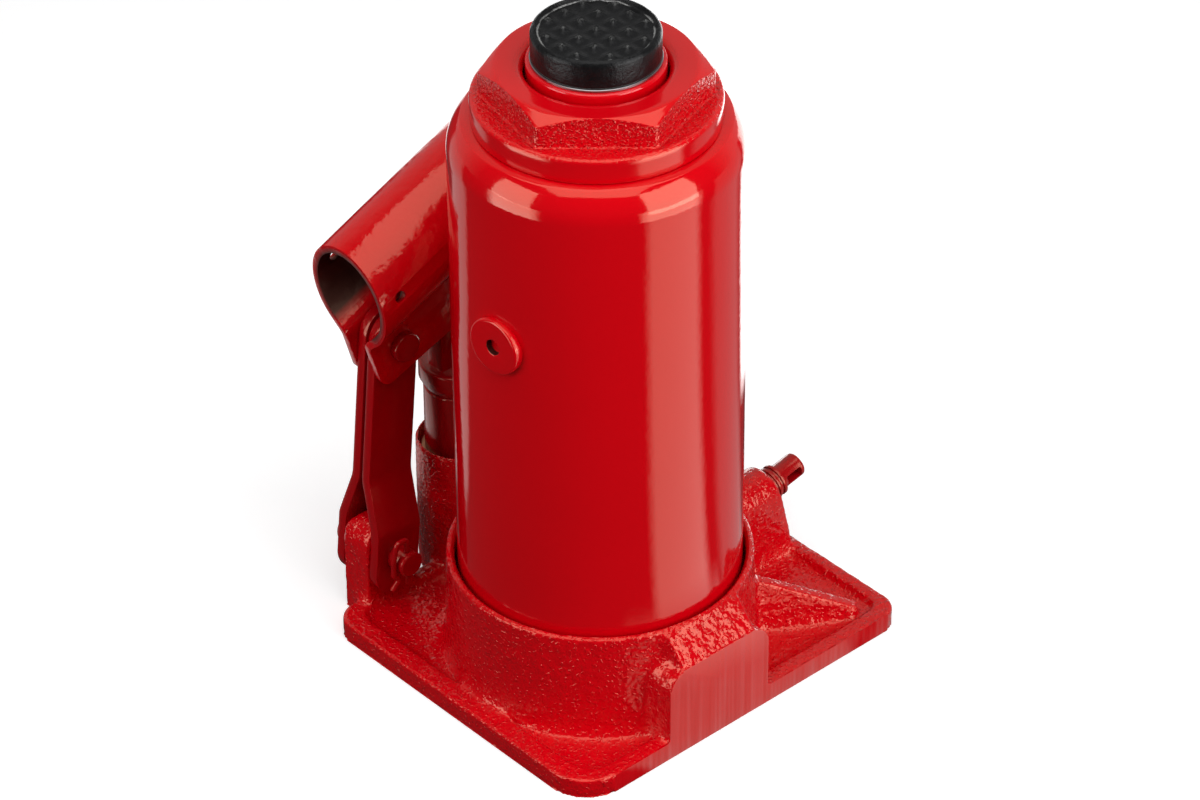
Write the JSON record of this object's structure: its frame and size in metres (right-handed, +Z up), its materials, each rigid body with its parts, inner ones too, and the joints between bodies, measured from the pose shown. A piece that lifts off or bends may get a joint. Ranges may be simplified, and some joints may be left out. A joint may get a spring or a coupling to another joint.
{
  "type": "hydraulic bottle jack",
  "caption": "Red hydraulic bottle jack with a black saddle on its ram, a side pump with a sheet steel handle socket, a release valve and a ribbed cast base.",
  "frame": {"origin": "middle of the base's underside, below the ram's axis", "axes": "+Z up along the ram, -Y out of the milled pad at the front, +X towards the release valve"},
  "size_m": [0.1425, 0.1381, 0.23],
  "materials": {
    "cast_red": "gloss red enamel over an iron casting",
    "gloss_red": "gloss red enamel over smooth steel",
    "linkage_red": "gloss red enamel over pressed steel",
    "saddle_black": "black, worn grey on the rim",
    "bright_steel": "machined, oiled",
    "ground_chrome": "ground and plated",
    "spring_steel": "wire, dark",
    "copper_washer": "soft copper, flat",
    "seal_rubber": "matte black",
    "wear_band": "matte brown polymer"
  },
  "bodies": {
    "base": {"base_casting": "cast_red", "tank_lower_gasket": "seal_rubber", "reservoir_tank": "gloss_red", "tank_upper_gasket": "seal_rubber", "filler_plug": "gloss_red", "filler_seal": "gloss_red", "cylinder_washer": "copper_washer", "pressure_cylinder": "bright_steel", "top_nut": "cast_red", "ram_wiper": "seal_rubber", "pump_washer": "copper_washer", "pump_barrel": "linkage_red", "pump_seal": "seal_rubber", "pump_gland_ring": "bright_steel", "suction_gallery_plug": "cast_red", "suction_strainer": "bright_steel", "delivery_spring": "spring_steel", "delivery_plug": "bright_steel", "overload_spring": "spring_steel", "overload_screw": "bright_steel", "release_ball": "bright_steel", "anchor_pin": "linkage_red", "anchor_pin_clip": "linkage_red"},
    "ram": {"ram": "ground_chrome", "piston_cup": "seal_rubber", "piston_washer": "bright_steel", "piston_nut": "bright_steel", "piston_wear_ring": "wear_band"},
    "screw_stop": {"screw_stop_ring": "bright_steel"},
    "screw": {"extension_screw": "bright_steel", "saddle": "saddle_black"},
    "links": {"front_link": "linkage_red", "rear_link": "linkage_red"},
    "socket": {"handle_socket": "gloss_red", "fulcrum_pin": "linkage_red", "fulcrum_pin_clip": "spring_steel", "plunger_pin": "linkage_red", "plunger_pin_clip": "spring_steel"},
    "plunger": {"pump_plunger": "linkage_red"},
    "valve_packing": {"release_o_ring": "seal_rubber"},
    "release_valve": {"release_spindle": "linkage_red"},
    "suction_ball_body": {"suction_ball": "bright_steel"},
    "delivery_ball_body": {"delivery_ball": "bright_steel"},
    "overload_ball_body": {"overload_ball": "bright_steel"}
  },
  "joints": [
    {"name": "ram_lift", "type": "slide", "parent": "base", "child": "ram", "axis": [0, 0, 1], "range_m": [0, 0.15]},
    {"name": "screw_lift", "type": "slide", "parent": "ram", "child": "screw_stop", "axis": [0, 0, 1], "range_m": [0, 0.08]},
    {"name": "screw_turn", "type": "hinge", "parent": "screw_stop", "child": "screw", "pos_m": [0, 0, 0.2], "axis": [0, 0, 1], "range_deg": [0, 5761]},
    {"name": "link_swing", "type": "hinge", "parent": "base", "child": "links", "pos_m": [-0.0352, 0.0663, 0.0235], "axis": [0, -1, 0], "range_deg": [-6, 0]},
    {"name": "socket_swing", "type": "hinge", "parent": "links", "child": "socket", "pos_m": [-0.0279, 0.0663, 0.1], "axis": [0, -1, 0], "range_deg": [0, 33]},
    {"name": "plunger_slide", "type": "slide", "parent": "base", "child": "plunger", "axis": [0, 0, 1], "range_m": [0, 0.0112]},
    {"name": "release_travel", "type": "slide", "parent": "base", "child": "valve_packing", "axis": [0.9799, 0, 0.1994], "range_m": [0, 0.00187]},
    {"name": "release_turn", "type": "hinge", "parent": "valve_packing", "child": "release_valve", "pos_m": [0.0716, 0, 0.0276], "axis": [0.9799, 0, 0.1994], "range_deg": [0, 541]},
    {"name": "suction_ball_lift", "type": "slide", "parent": "base", "child": "suction_ball_body", "axis": [0, 0, 1], "range_m": [0, 0.0012]},
    {"name": "delivery_ball_lift", "type": "slide", "parent": "base", "child": "delivery_ball_body", "axis": [0, 0, 1], "range_m": [0, 0.0008], "stiffness_N_per_m": 200, "springref_m": -0.001, "deforming": ["delivery_spring"]},
    {"name": "overload_ball_lift", "type": "slide", "parent": "base", "child": "overload_ball_body", "axis": [0, 0, 1], "range_m": [0, 0.0008], "stiffness_N_per_m": 2000, "springref_m": -0.001, "deforming": ["overload_spring"]}
  ],
  "couplings": [
    {"joint": "screw_turn", "follows": "screw_lift", "rad_per_m": 1256.6},
    {"joint": "socket_swing", "follows": "plunger_slide", "rad_per_m": 51.337},
    {"joint": "link_swing", "follows": "plunger_slide", "rad_per_m": -8.3166},
    {"joint": "release_turn", "follows": "release_travel", "rad_per_m": 5026.5}
  ]
}
